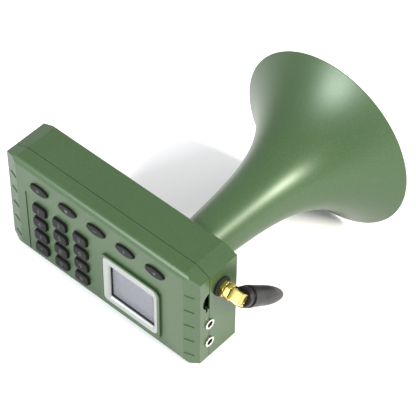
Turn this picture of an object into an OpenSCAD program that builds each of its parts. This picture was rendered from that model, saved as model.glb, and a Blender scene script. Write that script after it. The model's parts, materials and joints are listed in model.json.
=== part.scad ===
// Handheld electronic game caller: a keypad and screen case standing on its long side, a flared horn
// on its back and a right-angle stub antenna on its right end.
// X runs along the case (+X is the socket end), +Y runs back into the horn and +Z is up.
// The origin is the middle of the case's underside, on the surface that the case stands on.

/* [Case] */
// Length of the case, end to end
case_l = 128; // [118:1:160]
// Height of the case as it stands
case_h = 66; // [60:1:82]
// Depth of the case, keypad face to back
case_d = 28.5; // [28:0.5:36]
// Wall of both shells
wall = 2; // [1.6:0.1:2.6]
// Length of the tapered stretch at each end
taper_l = 8.5; // [6:0.5:10]
// How far the long sides drop over that stretch
taper_drop = 3.5; // [2:0.5:4]
// How far the face falls back over that stretch
taper_back = 2.8; // [1.5:0.1:3.2]
// Radius along the front long edges
front_edge_r = 4; // [3:0.5:5]
// Radius along the rear long edges
rear_edge_r = 1; // [0.5:0.1:1.5]
// Depth of the parting seam behind the face
seam_depth = 9.1; // [8.6:0.1:10]
// Open width of the parting seam
seam_gap = 0.25; // [0.15:0.05:0.4]

/* [Face] */
// Height of the keypad panel's top edge above the table
panel_top = 47; // [45:0.5:52]
// Left edge of the keypad panel, from the middle of the case
panel_left = -49.7; // [-54:0.1:-47]
// Right edge of the keypad panel, from the middle of the case
panel_right = 46.5; // [44:0.1:52]
// How deep the panel is sunk into the face
panel_depth = 0.4; // [0.2:0.1:0.6]
// Number of raised grip ribs at each end of the face
rib_count = 5; // [3:1:5]
// Height of the top rib above the table
rib_top = 51.3; // [50:0.1:56]
// Spacing of the ribs
rib_pitch = 10.85; // [9:0.05:11]

/* [Keys] */
// Width of a keypad key
key_w = 8.9; // [8:0.1:10]
// Height of a keypad key
key_h = 6.4; // [5.4:0.1:6.8]
// Corner radius of a keypad key
key_r = 1.6; // [0.8:0.1:2]
// Spacing of the keypad's columns
key_dx = 13.95; // [13:0.05:14.5]
// Spacing of the keypad's rows
key_dz = 9.63; // [9.2:0.01:9.9]
// Place of the first key along the case
key_x = -39.9; // [-41:0.1:-38]
// Height of the first key
key_z = 38.9; // [38:0.1:40]
// Length of an oval function key
oval_w = 11.8; // [10:0.1:13]
// Height of an oval function key
oval_h = 5.3; // [4.6:0.1:6]
// Spacing of the function keys
oval_dx = 19.2; // [17:0.1:20]
// Place of the first function key along the case
oval_x = -38.9; // [-40:0.1:-37]
// Height of the function keys
oval_z = 54.4; // [53:0.1:55]
// How far the keys stand out of the face
key_proud = 1.3; // [1:0.1:1.8]
// How far a key presses in
key_travel = 0.7; // [0.4:0.1:0.9]

/* [Screen] */
// Place of the screen along the case
screen_x = 21.3; // [20:0.1:23]
// Height of the screen's middle
screen_z = 23.5; // [22:0.1:25]
// Width of the bezel
bezel_w = 36; // [34:0.5:38]
// Height of the bezel
bezel_h = 32; // [30:0.1:34]
// Width of the clear window
window_w = 29.2; // [27:0.1:30]
// Height of the clear window
window_h = 23.6; // [22:0.1:25]
// How far the window sits right of the bezel's middle
window_shift = 0.9; // [0:0.1:1.2]
// How far the bezel stands out of the face
bezel_proud = 1; // [0.8:0.1:1.4]

/* [Horn] */
// Outside radius of the horn's mouth, which rests on the table
mouth_r = 51; // [42:0.5:51]
// Length of the horn behind the case
horn_l = 96; // [80:1:115]
// Outside radius of the horn where it leaves the case
neck_r = 12.3; // [11.8:0.1:12.6]
// Wall of the horn
horn_wall = 2; // [1.6:0.1:2.6]
// Place of the horn along the case
horn_x = 40.2; // [36:0.1:41]

/* [Sockets] */
// Height of the antenna socket
sma_z = 50.2; // [48:0.1:51]
// Distance of the antenna socket behind the face
sma_depth = 17.3; // [16.5:0.1:18]
// Height of the upper 3.5 mm jack
jack_1_z = 29; // [27:0.1:31]
// Height of the lower 3.5 mm jack
jack_2_z = 15.5; // [14:0.1:17]
// Bore radius of a jack
jack_r = 1.8; // [1.75:0.01:1.85]
// Bore depth of a jack
jack_bore_l = 13.8; // [13:0.1:14.5]
// Height of the finger notch over the memory card's slot
notch_z = 46; // [45:0.1:47]

/* [Antenna] */
// Length of the rubber stub, from the socket's axis to its tip
stub_l = 43; // [34:1:60]
// Largest radius of the rubber stub
stub_r = 5.6; // [5:0.1:6.2]
// Angle of the stub below the horizontal
stub_angle = 40; // [0:1:90]
// Width of the square elbow
elbow_w = 6.5; // [6:0.1:7.5]

/* [Hidden] */
$fn = 64;

// clearances
eps = 0.01;             // overlap of pieces that are joined
past = 1;               // how far a cutter runs past the face it leaves
slide_gap = 0.3;        // between moving pieces and their surroundings
seat_gap = 0.1;         // around a piece set into a recess
thread_gap = 0.05;      // radial, where one piece screws or presses onto another
nut_gap = 0.075;        // radial, between the antenna nut and the socket's thread
ring_gap = 0.05;        // at each end of the ring inside the antenna nut

// case planes
half_l = case_l / 2;
front_y = -case_d / 2;
rear_y = case_d / 2;
bend_x = half_l - taper_l;
seam_y = front_y + seam_depth;
inner_rear_y = rear_y - wall;
inner_front_y = front_y + wall;
inner_end_x = half_l - wall;
least_r = 0.4;          // of the long edges inside the walls

// seam lap
lip_l = 1.6;
lip_gap = 0.15;
lip_root = 0.6;

// panel and ribs
panel_r = 1.5;
rib_l = 5.2;
rib_w = 0.7;
rib_proud = 0.3;
rib_root = 0.5;
rib_start = 0.5;        // from the bend to the rib's end

// screen stack, behind the face
pad_margin = 1.5;
pad_margin_low = 3.1;
pad_proud = 0.8;
pad_r = 4;
bezel_r = 3;
window_r = 0.8;
window_drop = 0.2;
bezel_depth = 0.6;
gasket_w = 1;
gasket_t = 1.5;
window_t = 0.6;
panel_t = 2;
panel_margin = 2.6;
holder_wall = 2.5;
holder_floor = 1.2;
window_x = screen_x + window_shift;
window_z = screen_z - window_drop;
gasket_y = front_y + bezel_depth;
screen_y = gasket_y + gasket_t;

// board
board_t = 1.6;
board_y = seam_y - board_t / 2;
board_back_y = board_y + board_t;
board_edge = 1.2;
post_r = 2.5;
posts = [[-52, 20], [-52, 46], [-2.5, 9.5], [-2.5, 44], [45.5, 8.5], [45.5, 34.9]];
board_screw_r = 1;
board_screw_l = 5;
board_head_r = 1.9;
board_head_t = 1.3;
board_recess = [1.8, 0.4, 0.6];     // length, width and depth of the cross

// keys
key_flange = 0.8;
key_flange_t = 0.8;
mat_t = 1.2;
key_hole_gap = 0.35;
mat_edge = 1;
plunger_r = 1.6;
switch_w = 4.4;
switch_t = 1;
switch_cap_r = 1.2;
switch_cap_t = 0.6;
switch_rest_gap = 0.4;
flange_y = inner_front_y + slide_gap;
plunger_end_y = board_y - switch_t - switch_cap_t - switch_rest_gap - key_travel;
keys = [for (row = [0:3], col = [0:2]) [key_x + col * key_dx, key_z - row * key_dz]];
ovals = [for (i = [0:4]) [oval_x + i * oval_dx, oval_z]];

// case screws
boss_r = 3.6;
boss_in = [7.4, 8.2];
bosses = [for (sx = [-1, 1], sz = [0, 1])
    [sx * (half_l - boss_in[0]), sz == 0 ? boss_in[1] : case_h - boss_in[1]]];
case_screw_r = 1.1;
case_head_r = 2.2;
case_head_t = 1.6;
head_sink = 2.6;
case_recess = [2.2, 0.5, 0.7];      // length, width and depth of the cross
screw_hole_r = 1.3;
post_meet_y = seam_y + seam_gap;
screw_bite = 6;
pilot_gap = 0.2;        // below a screw's tip

// horn and driver
horn_z = mouth_r;
horn_power = 4.15;
horn_linear = 0.17;
horn_steps = 30;
neck_steps = 11;        // steps of the curve that belong to the neck
neck_lap = 3;           // length of the neck's lap inside the bell
rim_r = horn_wall / 2;
spigot_r = 9;
spigot_l = 8.5;
spigot_gap = 0.1;
throat_r = 5.5;
flare_start = 8;        // where the throat's taper meets the horn's own curve
driver_r = 12.4;
gasket_ring_t = 0.8;
driver_front = wall + gasket_ring_t;
driver_back = 17;
throat_plate_t = 1;
chamber_r = 10.9;
chamber_front = spigot_l + spigot_gap + throat_plate_t;
dome_r = 7;
dome_h = 0.8;
dome_steps = 6;
cone_t = 0.3;
cone_y = 11.3;
cone_rim_r = chamber_r - 0.5;
coil_r = [6.4, 6.9];
coil_l = 3;
pole_r = 6;
pole_t = 2;
magnet_r = 5.8;
yoke_front = 12;
yoke_gap_r = 7.4;
yoke_floor_t = 1;

// antenna socket, measured out from the end face
sma_y = front_y + sma_depth;
thread_r = 3.175;
thread_l = 6.2;
thread_ring_pitch = 0.7;
thread_ring_depth = 0.25;
thread_rings = 3;
sma_hole_r = thread_r + 0.15;
flange_r = 4;
flange_t = 2;
socket_tail_r = 2.6;
socket_tail_l = 4;
socket_tail_bore = 1;
core_r = 2.1;
tail_floor = 1;
core_back = -wall - flange_t - socket_tail_l + tail_floor;
core_in = 2;
contact_r = 0.9;
contact_bore_r = 0.55;
contact_floor = 1;
seal_r = 5.4;
seal_t = 1.6;
hex_af = 8;
socket_nut_t = 2.4;
socket_nut_turn = 15;   // how each nut happens to be turned
nut_turn = -8;
nut_start = 4.3;
thread_ring_x = seal_t + socket_nut_t + 0.5;
nut_end = 7.2;
nut_thread_end = 6.4;
nut_groove_end = 6.9;
nut_groove_r = 3;
neck_bore_r = 2.6;
plug_neck_r = 2.3;
ring_r = [2.38, 2.9];
elbow_start = 7.4;
elbow_mid = elbow_start + elbow_w / 2;
pin_r = 0.46;
pin_start = 3.2;
plug_bore_r = 1.6;
cap_r = 2.35;
cap_t = 0.4;
cap_sink = 0.05;
cap_x = elbow_start + elbow_w - cap_sink - cap_t;
collar_r = 5.2;
collar_start = elbow_w / 2;
collar_end = 6.4;
collar_edge = 0.6;
groove_r = 4.8;
groove_end = 8.2;
nose_steps = 14;
stub_shoulder = 21;
stub_nose_r = 5.1;
radiator_r = 0.7;
radiator_l = 30;
radiator_end_gap = 0.5;

// jacks and card
jack_ring_r = 2.95;
jack_ring_t = 0.9;
jack_sleeve_r = 2.4;
jack_sleeve_l = 4;
jack_body = [12, 5.6, 6.4];
jack_x = inner_end_x - jack_body[0];
jack_z = [jack_1_z, jack_2_z];
notch_r = 5.9;
notch_sink = 4.5;
card = [15, 1, 11];
card_cut = [5, 1.3];    // length and height of the card's stepped corner
card_inset = 2.4;
card_drop = 1.1;        // below the notch, so that the drawn card clears the stub swung over it
card_z = notch_z - card_drop;
card_slot_t = 1.3;
socket_wall = 0.35;
socket_side = 1.5;
socket_back = 1.2;
socket_mouth_gap = 0.8; // between the card socket and the end wall
card_y = board_y - socket_wall - card_slot_t / 2;

// battery
battery = [50, 9, 34];
battery_x = -27;
battery_z = 33;
battery_r = 2;
battery_pad_t = 2;
battery_pad_edge = 4;

// leads: radius, then the distance between a pair, then the reach before the bend
battery_wire = [0.6, 3, 5];
battery_wire_z = 40;
driver_wire = [0.5, 6, 5];
driver_wire_y = rear_y - 10;
antenna_wire = [0.8, 2.4];

green = [0.33, 0.47, 0.31];
black = [0.09, 0.09, 0.09];
gold = [0.83, 0.68, 0.3];
silver = [0.82, 0.82, 0.8];
steel = [0.62, 0.63, 0.64];

// ---- helpers ----

// a flat X-Z outline, extruded from y0 to y1
module along_y(y0, y1) {
    translate([0, y1, 0]) rotate([90, 0, 0]) linear_extrude(y1 - y0) children();
}

// a flat Y-Z outline, extruded from x0 to x1
module along_x(x0, x1) {
    translate([x0, 0, 0]) rotate([90, 0, 90]) linear_extrude(x1 - x0) children();
}

module disc_y(r, y0, y1) {
    translate([0, y1, 0]) rotate([90, 0, 0]) cylinder(r = r, h = y1 - y0);
}

module disc_x(r, x0, x1) {
    translate([x0, 0, 0]) rotate([0, 90, 0]) cylinder(r = r, h = x1 - x0);
}

// a profile of [radius, distance] points turned about the Y axis, distance running along +Y
module turned_y(points) {
    rotate([-90, 0, 0]) rotate_extrude() polygon(points);
}

module rounded_rect(w, h, r) {
    square([w, h - 2 * r], center = true);
    square([w - 2 * r, h], center = true);
    for (sx = [-1, 1], sz = [-1, 1])
        translate([sx * (w / 2 - r), sz * (h / 2 - r)]) circle(r);
}

module ellipse(w, h) {
    count = 48;
    polygon([for (i = [0:count - 1]) [w / 2 * cos(i * 360 / count), h / 2 * sin(i * 360 / count)]]);
}

module hexagon(af) {
    circle(r = af / sqrt(3), $fn = 6);
}

// a cross recess in a screw head whose top is at top_y; size is its length, width and depth
module cross_recess(size, top_y) {
    for (a = [0, 90])
        rotate([0, a, 0])
            translate([-size[0] / 2, top_y - size[2], -size[1] / 2])
                cube([size[0], size[2] + past, size[1]]);
}

// a wire through a list of points, round at the bends
module wire(points, r) {
    for (i = [1:len(points) - 1]) {
        run = points[i] - points[i - 1];
        translate(points[i - 1])
            rotate([0, acos(run[2] / norm(run)), atan2(run[1], run[0])])
                cylinder(r = r, h = norm(run), $fn = 24);
        if (i < len(points) - 1)
            translate(points[i]) sphere(r, $fn = 24);
    }
}

// ---- case form ----

// the case seen from the front, drawn in by inset
module front_outline(inset) {
    x0 = half_l - inset;
    z0 = inset;
    z1 = case_h - inset;
    polygon([[-bend_x, z0], [bend_x, z0], [x0, z0 + taper_drop], [x0, z1 - taper_drop],
        [bend_x, z1], [-bend_x, z1], [-x0, z1 - taper_drop], [-x0, z0 + taper_drop]]);
}

// the case seen from above
module plan_outline(inset) {
    x0 = half_l - inset;
    y0 = front_y + inset;
    y1 = rear_y - inset;
    polygon([[-x0, y1], [-x0, y0 + taper_back], [-bend_x, y0],
        [bend_x, y0], [x0, y0 + taper_back], [x0, y1]]);
}

// the case seen from its end
module end_outline(inset) {
    rf = max(front_edge_r - inset, least_r);
    rr = max(rear_edge_r - inset, least_r);
    y0 = front_y + inset;
    y1 = rear_y - inset;
    z0 = inset;
    z1 = case_h - inset;
    translate([y0 + rf, z0]) square([y1 - y0 - rf - rr, z1 - z0]);
    translate([y0, z0 + rf]) square([rf + eps, z1 - z0 - 2 * rf]);
    translate([y1 - rr - eps, z0 + rr]) square([rr + eps, z1 - z0 - 2 * rr]);
    for (z = [z0 + rf, z1 - rf]) translate([y0 + rf, z]) circle(rf);
    for (z = [z0 + rr, z1 - rr]) translate([y1 - rr, z]) circle(rr);
}

// the case's outside, drawn in by inset, between two planes of Y
module case_form(inset, y0 = front_y - past, y1 = rear_y + past) {
    intersection() {
        along_y(max(y0, front_y + inset), min(y1, rear_y - inset)) front_outline(inset);
        linear_extrude(case_h) plan_outline(inset);
        along_x(-half_l, half_l) end_outline(inset);
    }
}

// the three round openings in the end wall
module end_holes() {
    translate([0, sma_y, sma_z]) disc_x(sma_hole_r, inner_end_x - past, half_l + past);
    for (z = jack_z)
        translate([0, seam_y, z]) disc_x(jack_sleeve_r + seat_gap, inner_end_x - past, half_l + past);
}

// ---- shells ----

module grip_ribs() {
    for (side = [0, 1], i = [0:rib_count - 1])
        mirror([side, 0, 0])
            translate([bend_x, front_y, rib_top - i * rib_pitch])
                rotate([0, 0, atan(taper_back / taper_l)])
                    translate([rib_start, -rib_proud, -rib_w / 2]) cube([rib_l, rib_proud + rib_root, rib_w]);
}

// the sunk panel, open at the bottom edge, its top corners rounded
module panel_outline() {
    panel_w = panel_right - panel_left;
    translate([panel_left, -past]) square([panel_w, panel_top + past - panel_r]);
    translate([panel_left + panel_r, -past]) square([panel_w - 2 * panel_r, panel_top + past]);
    for (x = [panel_left + panel_r, panel_right - panel_r])
        translate([x, panel_top - panel_r]) circle(panel_r);
}

module screen_pad() {
    pad_w = bezel_w + 2 * pad_margin;
    pad_h = bezel_h + pad_margin + pad_margin_low;
    translate([screen_x, 0, screen_z + (pad_margin - pad_margin_low) / 2])
        along_y(front_y - pad_proud, inner_front_y) rounded_rect(pad_w, pad_h, pad_r);
}

module front_shell() {
    window_room = gasket_w + seat_gap;
    color(green) difference() {
        union() {
            difference() {
                union() {
                    difference() {
                        case_form(0, y1 = seam_y);
                        along_y(front_y - past, front_y + panel_depth) panel_outline();
                    }
                    screen_pad();
                }
                case_form(wall, y1 = seam_y + past);
            }
            difference() {
                case_form(wall / 2 + lip_gap, seam_y - lip_root, seam_y + lip_l);
                case_form(wall, seam_y - lip_root - past, seam_y + lip_l + past);
            }
            for (p = bosses)
                translate([p[0], 0, p[1]]) disc_y(boss_r, inner_front_y - eps, post_meet_y);
            for (p = posts) translate([p[0], 0, p[1]]) disc_y(post_r, inner_front_y - eps, board_y);
            grip_ribs();
        }
        // bezel seat and window
        translate([screen_x, 0, screen_z])
            along_y(front_y - pad_proud - past, front_y + bezel_depth)
                rounded_rect(bezel_w + 2 * seat_gap, bezel_h + 2 * seat_gap, bezel_r);
        translate([window_x, 0, window_z])
            along_y(front_y, inner_front_y + past)
                rounded_rect(window_w + 2 * window_room, window_h + 2 * window_room, window_r);
        // key openings
        for (p = keys) translate([p[0], 0, p[1]])
            along_y(front_y - past, inner_front_y + past)
                rounded_rect(key_w + 2 * key_hole_gap, key_h + 2 * key_hole_gap, key_r + key_hole_gap);
        for (p = ovals) translate([p[0], 0, p[1]])
            along_y(front_y - past, inner_front_y + past)
                ellipse(oval_w + 2 * key_hole_gap, oval_h + 2 * key_hole_gap);
        // pilot holes
        for (p = bosses) translate([p[0], 0, p[1]])
            disc_y(case_screw_r + thread_gap, post_meet_y - screw_bite - pilot_gap, post_meet_y + past);
        for (p = posts) translate([p[0], 0, p[1]])
            disc_y(board_screw_r + thread_gap, board_back_y - board_screw_l - pilot_gap, board_y + past);
        end_holes();
        // card slot, with a finger notch over it
        translate([0, seam_y - notch_sink + notch_r, notch_z])
            disc_x(notch_r, inner_end_x - past, half_l + past);
        translate([inner_end_x - past, card_y - card_slot_t / 2, card_z - card[2] / 2 - slide_gap])
            cube([wall + 2 * past, card_slot_t, card[2] + 2 * slide_gap]);
    }
}

module rear_shell() {
    color(green) difference() {
        union() {
            difference() {
                case_form(0, y0 = post_meet_y);
                case_form(wall);
            }
            for (p = bosses)
                translate([p[0], 0, p[1]]) disc_y(boss_r, post_meet_y, inner_rear_y + eps);
        }
        // rebate for the front shell's lip
        difference() {
            case_form(wall / 2, seam_y - past, seam_y + lip_l + slide_gap);
            for (p = bosses)
                translate([p[0], 0, p[1]]) disc_y(boss_r, seam_y - 2 * past, seam_y + lip_l + 2 * past);
        }
        for (p = bosses) translate([p[0], 0, p[1]]) {
            disc_y(screw_hole_r, post_meet_y - past, rear_y + past);
            disc_y(case_head_r + slide_gap, rear_y - head_sink, rear_y + past);
        }
        end_holes();
        translate([horn_x, 0, horn_z]) disc_y(spigot_r + thread_gap, inner_rear_y - past, rear_y + past);
    }
}

module case_screws() {
    head_y = rear_y - head_sink;
    color(steel) for (p = bosses) translate([p[0], 0, p[1]]) difference() {
        union() {
            disc_y(case_screw_r, post_meet_y - screw_bite, head_y + eps);
            disc_y(case_head_r, head_y, head_y + case_head_t);
        }
        cross_recess(case_recess, head_y + case_head_t);
    }
}

// ---- screen ----

module screen_bezel() {
    color(silver) difference() {
        translate([screen_x, 0, screen_z])
            along_y(front_y - bezel_proud, gasket_y) rounded_rect(bezel_w, bezel_h, bezel_r);
        translate([window_x, 0, window_z])
            along_y(front_y - bezel_proud - past, gasket_y + past)
                rounded_rect(window_w, window_h, window_r);
    }
}

module screen_gasket() {
    color(black) translate([window_x, 0, window_z]) difference() {
        along_y(gasket_y, screen_y)
            rounded_rect(window_w + 2 * gasket_w, window_h + 2 * gasket_w, window_r);
        along_y(gasket_y - past, screen_y + past) rounded_rect(window_w, window_h, window_r);
    }
}

module screen_window() {
    color([0.8, 0.85, 0.88, 0.35]) translate([window_x, 0, window_z])
        along_y(screen_y - window_t, screen_y)
            rounded_rect(window_w - 2 * seat_gap, window_h - 2 * seat_gap, window_r);
}

module screen_panel() {
    color([0.6, 0.6, 0.64]) translate([window_x, 0, window_z])
        along_y(screen_y, screen_y + panel_t)
            square([window_w + 2 * panel_margin, window_h + 2 * panel_margin], center = true);
}

module screen_holder() {
    holder_w = window_w + 2 * panel_margin;
    holder_h = window_h + 2 * panel_margin;
    color([0.85, 0.85, 0.83]) translate([window_x, 0, window_z]) difference() {
        along_y(screen_y + panel_t, board_y) square([holder_w, holder_h], center = true);
        along_y(screen_y + panel_t + holder_floor, board_y + past)
            square([holder_w - 2 * holder_wall, holder_h - 2 * holder_wall], center = true);
    }
}

// ---- board ----

module main_board() {
    corner = boss_r + slide_gap;
    cut_t = board_t + 2 * past;
    color([0.1, 0.32, 0.2]) difference() {
        case_form(wall + board_edge, board_y, board_back_y);
        // square corners cut away round the bosses
        for (p = bosses) {
            x = p[0] > 0 ? p[0] - corner : -half_l;
            z = p[1] > case_h / 2 ? p[1] - corner : 0;
            translate([x, board_y - past, z])
                cube([half_l - abs(p[0]) + corner, cut_t, min(p[1], case_h - p[1]) + corner]);
        }
        for (p = posts) translate([p[0], 0, p[1]])
            disc_y(board_screw_r + seat_gap, board_y - past, board_back_y + past);
        for (z = jack_z)
            translate([jack_x - slide_gap, board_y - past, z - jack_body[2] / 2 - slide_gap])
                cube([jack_body[0] + 2 * past, cut_t, jack_body[2] + 2 * slide_gap]);
    }
}

module board_screws() {
    color(steel) for (p = posts) translate([p[0], 0, p[1]]) difference() {
        union() {
            disc_y(board_screw_r, board_back_y - board_screw_l, board_back_y + eps);
            disc_y(board_head_r, board_back_y, board_back_y + board_head_t);
        }
        cross_recess(board_recess, board_back_y + board_head_t);
    }
}

// chips, capacitors and plugs on the back of the board: [x, z, width, height, thickness]
module board_parts() {
    chips = [[13, 34, 10, 10, 1.2], [-12, 33, 7, 7, 1], [15, 18, 5, 6, 1], [-25, 52, 6, 5, 1],
        [3, 22, 4, 4, 2], [9, 52, 8, 4, 1.4], [-40, 8, 12, 4, 1]];
    small = [for (x = [2:3.4:19]) [x, 27, 1.6, 0.8, 0.6]];
    can_r = 3;
    can_l = 6;
    color([0.16, 0.16, 0.17]) for (c = concat(chips, small))
        translate([c[0] - c[2] / 2, board_back_y, c[1] - c[3] / 2]) cube([c[2], c[4], c[3]]);
    color(silver) for (x = [24, 31])
        translate([x, 0, 11]) disc_y(can_r, board_back_y, board_back_y + can_l);
}

module key_switches() {
    color(silver) for (p = concat(keys, ovals)) translate([p[0], 0, p[1]]) {
        translate([-switch_w / 2, board_y - switch_t, -switch_w / 2]) cube([switch_w, switch_t, switch_w]);
        disc_y(switch_cap_r, board_y - switch_t - switch_cap_t, board_y - switch_t);
    }
}

// ---- keys ----

module key_at(p) {
    color(black) translate([p[0], 0, p[1]]) {
        along_y(front_y - key_proud, flange_y + eps) rounded_rect(key_w, key_h, key_r);
        along_y(flange_y, flange_y + key_flange_t)
            rounded_rect(key_w + 2 * key_flange, key_h + 2 * key_flange, key_r + key_flange);
        disc_y(plunger_r, flange_y + key_flange_t - eps, plunger_end_y);
    }
}

module oval_key_at(p) {
    color(black) translate([p[0], 0, p[1]]) {
        along_y(front_y - key_proud, flange_y + eps) ellipse(oval_w, oval_h);
        along_y(flange_y, flange_y + key_flange_t) ellipse(oval_w + 2 * key_flange, oval_h + 2 * key_flange);
        disc_y(plunger_r, flange_y + key_flange_t - eps, plunger_end_y);
    }
}

// rubber sheet behind the face, with an opening around each key's flange
module keypad_mat() {
    mat_gap = key_flange + slide_gap;
    side = mat_gap + mat_edge;
    left = key_x - key_w / 2 - side;
    right = key_x + 2 * key_dx + key_w / 2 + side;
    low = key_z - 3 * key_dz - key_h / 2 - side;
    oval_low = oval_z - oval_h / 2 - side;
    oval_high = oval_z + oval_h / 2 + side;
    color([0.13, 0.13, 0.13]) difference() {
        union() {
            translate([left, inner_front_y, low]) cube([right - left, mat_t, oval_low - low + eps]);
            translate([oval_x - oval_w / 2 - side, inner_front_y, oval_low])
                cube([4 * oval_dx + oval_w + 2 * side, mat_t, oval_high - oval_low]);
        }
        for (p = keys) translate([p[0], 0, p[1]])
            along_y(inner_front_y - past, inner_front_y + mat_t + past)
                rounded_rect(key_w + 2 * mat_gap, key_h + 2 * mat_gap, key_r + mat_gap);
        for (p = ovals) translate([p[0], 0, p[1]])
            along_y(inner_front_y - past, inner_front_y + mat_t + past)
                ellipse(oval_w + 2 * mat_gap, oval_h + 2 * mat_gap);
        for (p = posts) translate([p[0], 0, p[1]])
            disc_y(post_r + slide_gap, inner_front_y - past, inner_front_y + mat_t + past);
    }
}

// ---- sockets on the end ----

module jack_at(z) {
    color(black) translate([0, seam_y, z]) difference() {
        translate([jack_x, -jack_body[1] / 2, -jack_body[2] / 2]) cube(jack_body);
        disc_x(jack_r, half_l + jack_ring_t - jack_bore_l, half_l);
        disc_x(jack_sleeve_r + thread_gap, half_l - jack_sleeve_l - thread_gap, half_l);
    }
}

module jack_rings() {
    color(silver) for (z = jack_z) translate([0, seam_y, z]) difference() {
        union() {
            disc_x(jack_ring_r, half_l, half_l + jack_ring_t);
            disc_x(jack_sleeve_r, half_l - jack_sleeve_l, half_l + eps);
        }
        disc_x(jack_r, half_l - jack_sleeve_l - past, half_l + jack_ring_t + past);
    }
}

module card_socket() {
    socket_t = card_slot_t + 2 * socket_wall;
    slot_start = inner_end_x - card[0] - socket_back;
    color(silver) translate([0, card_y, card_z]) difference() {
        translate([slot_start - past, -socket_t / 2, -card[2] / 2 - socket_side])
            cube([inner_end_x - socket_mouth_gap - slot_start + past, socket_t, card[2] + 2 * socket_side]);
        translate([slot_start, -card_slot_t / 2, -card[2] / 2 - slide_gap / 2])
            cube([card[0] + socket_back + past, card_slot_t, card[2] + slide_gap]);
    }
}

module memory_card() {
    start = [half_l - card_inset - card[0], card_y - card[1] / 2, card_z - card[2] / 2];
    color([0.12, 0.12, 0.13]) translate(start) difference() {
        cube(card);
        translate([-past, -past, card[2] - card_cut[1]])
            cube([card_cut[0] + past, card[1] + 2 * past, card_cut[1] + past]);
    }
}

module antenna_socket() {
    color(gold) translate([half_l, sma_y, sma_z]) difference() {
        union() {
            disc_x(thread_r, -wall - eps, thread_l);
            disc_x(flange_r, -wall - flange_t, -wall);
            disc_x(socket_tail_r, -wall - flange_t - socket_tail_l, -wall - flange_t + eps);
        }
        disc_x(core_r, core_back, thread_l + past);
        disc_x(socket_tail_bore, -wall - flange_t - socket_tail_l - past, -wall);
        // shallow rings stand in for the thread
        for (i = [0:thread_rings - 1])
            translate([thread_ring_x + i * thread_ring_pitch, 0, 0]) difference() {
                disc_x(thread_r + past, 0, thread_ring_pitch / 2);
                disc_x(thread_r - thread_ring_depth, -past, thread_ring_pitch + past);
            }
    }
}

module antenna_socket_core() {
    translate([half_l, sma_y, sma_z]) {
        color("white") difference() {
            disc_x(core_r - thread_gap, core_back, thread_l - core_in);
            disc_x(contact_r + thread_gap, core_back - past, thread_l);
        }
        color(gold) difference() {
            disc_x(contact_r, core_back, thread_l - core_in);
            disc_x(contact_bore_r, core_back + contact_floor, thread_l);
        }
    }
}

module antenna_seal() {
    color(black) translate([half_l, sma_y, sma_z]) difference() {
        disc_x(seal_r, 0, seal_t);
        disc_x(thread_r + thread_gap, -past, seal_t + past);
    }
}

module antenna_socket_nut() {
    color(gold) translate([half_l, sma_y, sma_z]) difference() {
        rotate([socket_nut_turn, 0, 0]) along_x(seal_t, seal_t + socket_nut_t) hexagon(hex_af);
        disc_x(thread_r + thread_gap, seal_t - past, seal_t + socket_nut_t + past);
    }
}

// ---- antenna ----

module antenna_nut() {
    color(gold) translate([half_l, sma_y, sma_z]) difference() {
        rotate([nut_turn, 0, 0]) along_x(nut_start, nut_end) hexagon(hex_af);
        disc_x(thread_r + nut_gap, nut_start - past, nut_thread_end);
        disc_x(nut_groove_r, nut_thread_end - eps, nut_groove_end);
        disc_x(neck_bore_r, nut_groove_end - eps, nut_end + past);
    }
}

module antenna_nut_ring() {
    color(steel) translate([half_l, sma_y, sma_z]) difference() {
        disc_x(ring_r[1], nut_thread_end + ring_gap, nut_groove_end - ring_gap);
        disc_x(ring_r[0], nut_thread_end - past, nut_groove_end + past);
    }
}

// puts a piece drawn along +Y onto the stub's direction, through the middle of the elbow
module on_stub() {
    translate([half_l + elbow_mid, sma_y, sma_z]) rotate([-stub_angle, 0, 0]) children();
}

module antenna_elbow() {
    color(gold) difference() {
        union() {
            on_stub() translate([-elbow_w / 2, -elbow_w / 2, -elbow_w / 2]) cube(elbow_w);
            translate([half_l, sma_y, sma_z]) disc_x(plug_neck_r, thread_l + thread_gap, elbow_start + eps);
        }
        translate([half_l, sma_y, sma_z]) {
            disc_x(plug_bore_r, thread_l - past, elbow_mid + plug_bore_r);
            disc_x(cap_r + thread_gap, cap_x, elbow_start + elbow_w + past);
        }
        on_stub() disc_y(plug_bore_r, 0, elbow_w);
    }
}

module antenna_elbow_cap() {
    color(gold) translate([half_l, sma_y, sma_z])
        disc_x(cap_r, cap_x, cap_x + cap_t);
}

module antenna_pin() {
    color(gold) translate([half_l, sma_y, sma_z]) disc_x(pin_r, pin_start, elbow_mid + pin_r);
}

// fills the elbow's bores and holds the pin and the radiator
module antenna_insulator() {
    color("white") difference() {
        union() {
            translate([half_l, sma_y, sma_z])
                disc_x(plug_bore_r - thread_gap, thread_l + thread_gap, elbow_mid + plug_bore_r - thread_gap);
            on_stub() disc_y(plug_bore_r - thread_gap, 0, elbow_w / 2);
        }
        translate([half_l, sma_y, sma_z]) disc_x(pin_r, thread_l - past, elbow_mid + pin_r);
        on_stub() disc_y(radiator_r, pin_r, elbow_w);
    }
}

module antenna_radiator() {
    color(gold) on_stub() disc_y(radiator_r, pin_r, radiator_l);
}

module antenna_stub() {
    nose_l = stub_l - stub_shoulder;
    nose = [for (i = [0:nose_steps]) let (a = i * 84 / nose_steps)
        [stub_nose_r * cos(a), stub_shoulder + nose_l * sin(a)]];
    color(black) difference() {
        on_stub() turned_y(concat([[0, collar_start], [collar_r - collar_edge, collar_start],
            [collar_r, collar_start + collar_edge], [collar_r, collar_end], [groove_r, collar_end],
            [groove_r, groove_end], [stub_r, groove_end]], nose, [[0, stub_l]]));
        on_stub() disc_y(radiator_r + seat_gap, collar_start - past, radiator_l + radiator_end_gap);
        // relief round the nut
        translate([half_l, sma_y, sma_z]) disc_x(hex_af / sqrt(3) + slide_gap, 0, elbow_start);
    }
}

// ---- horn and driver ----

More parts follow.
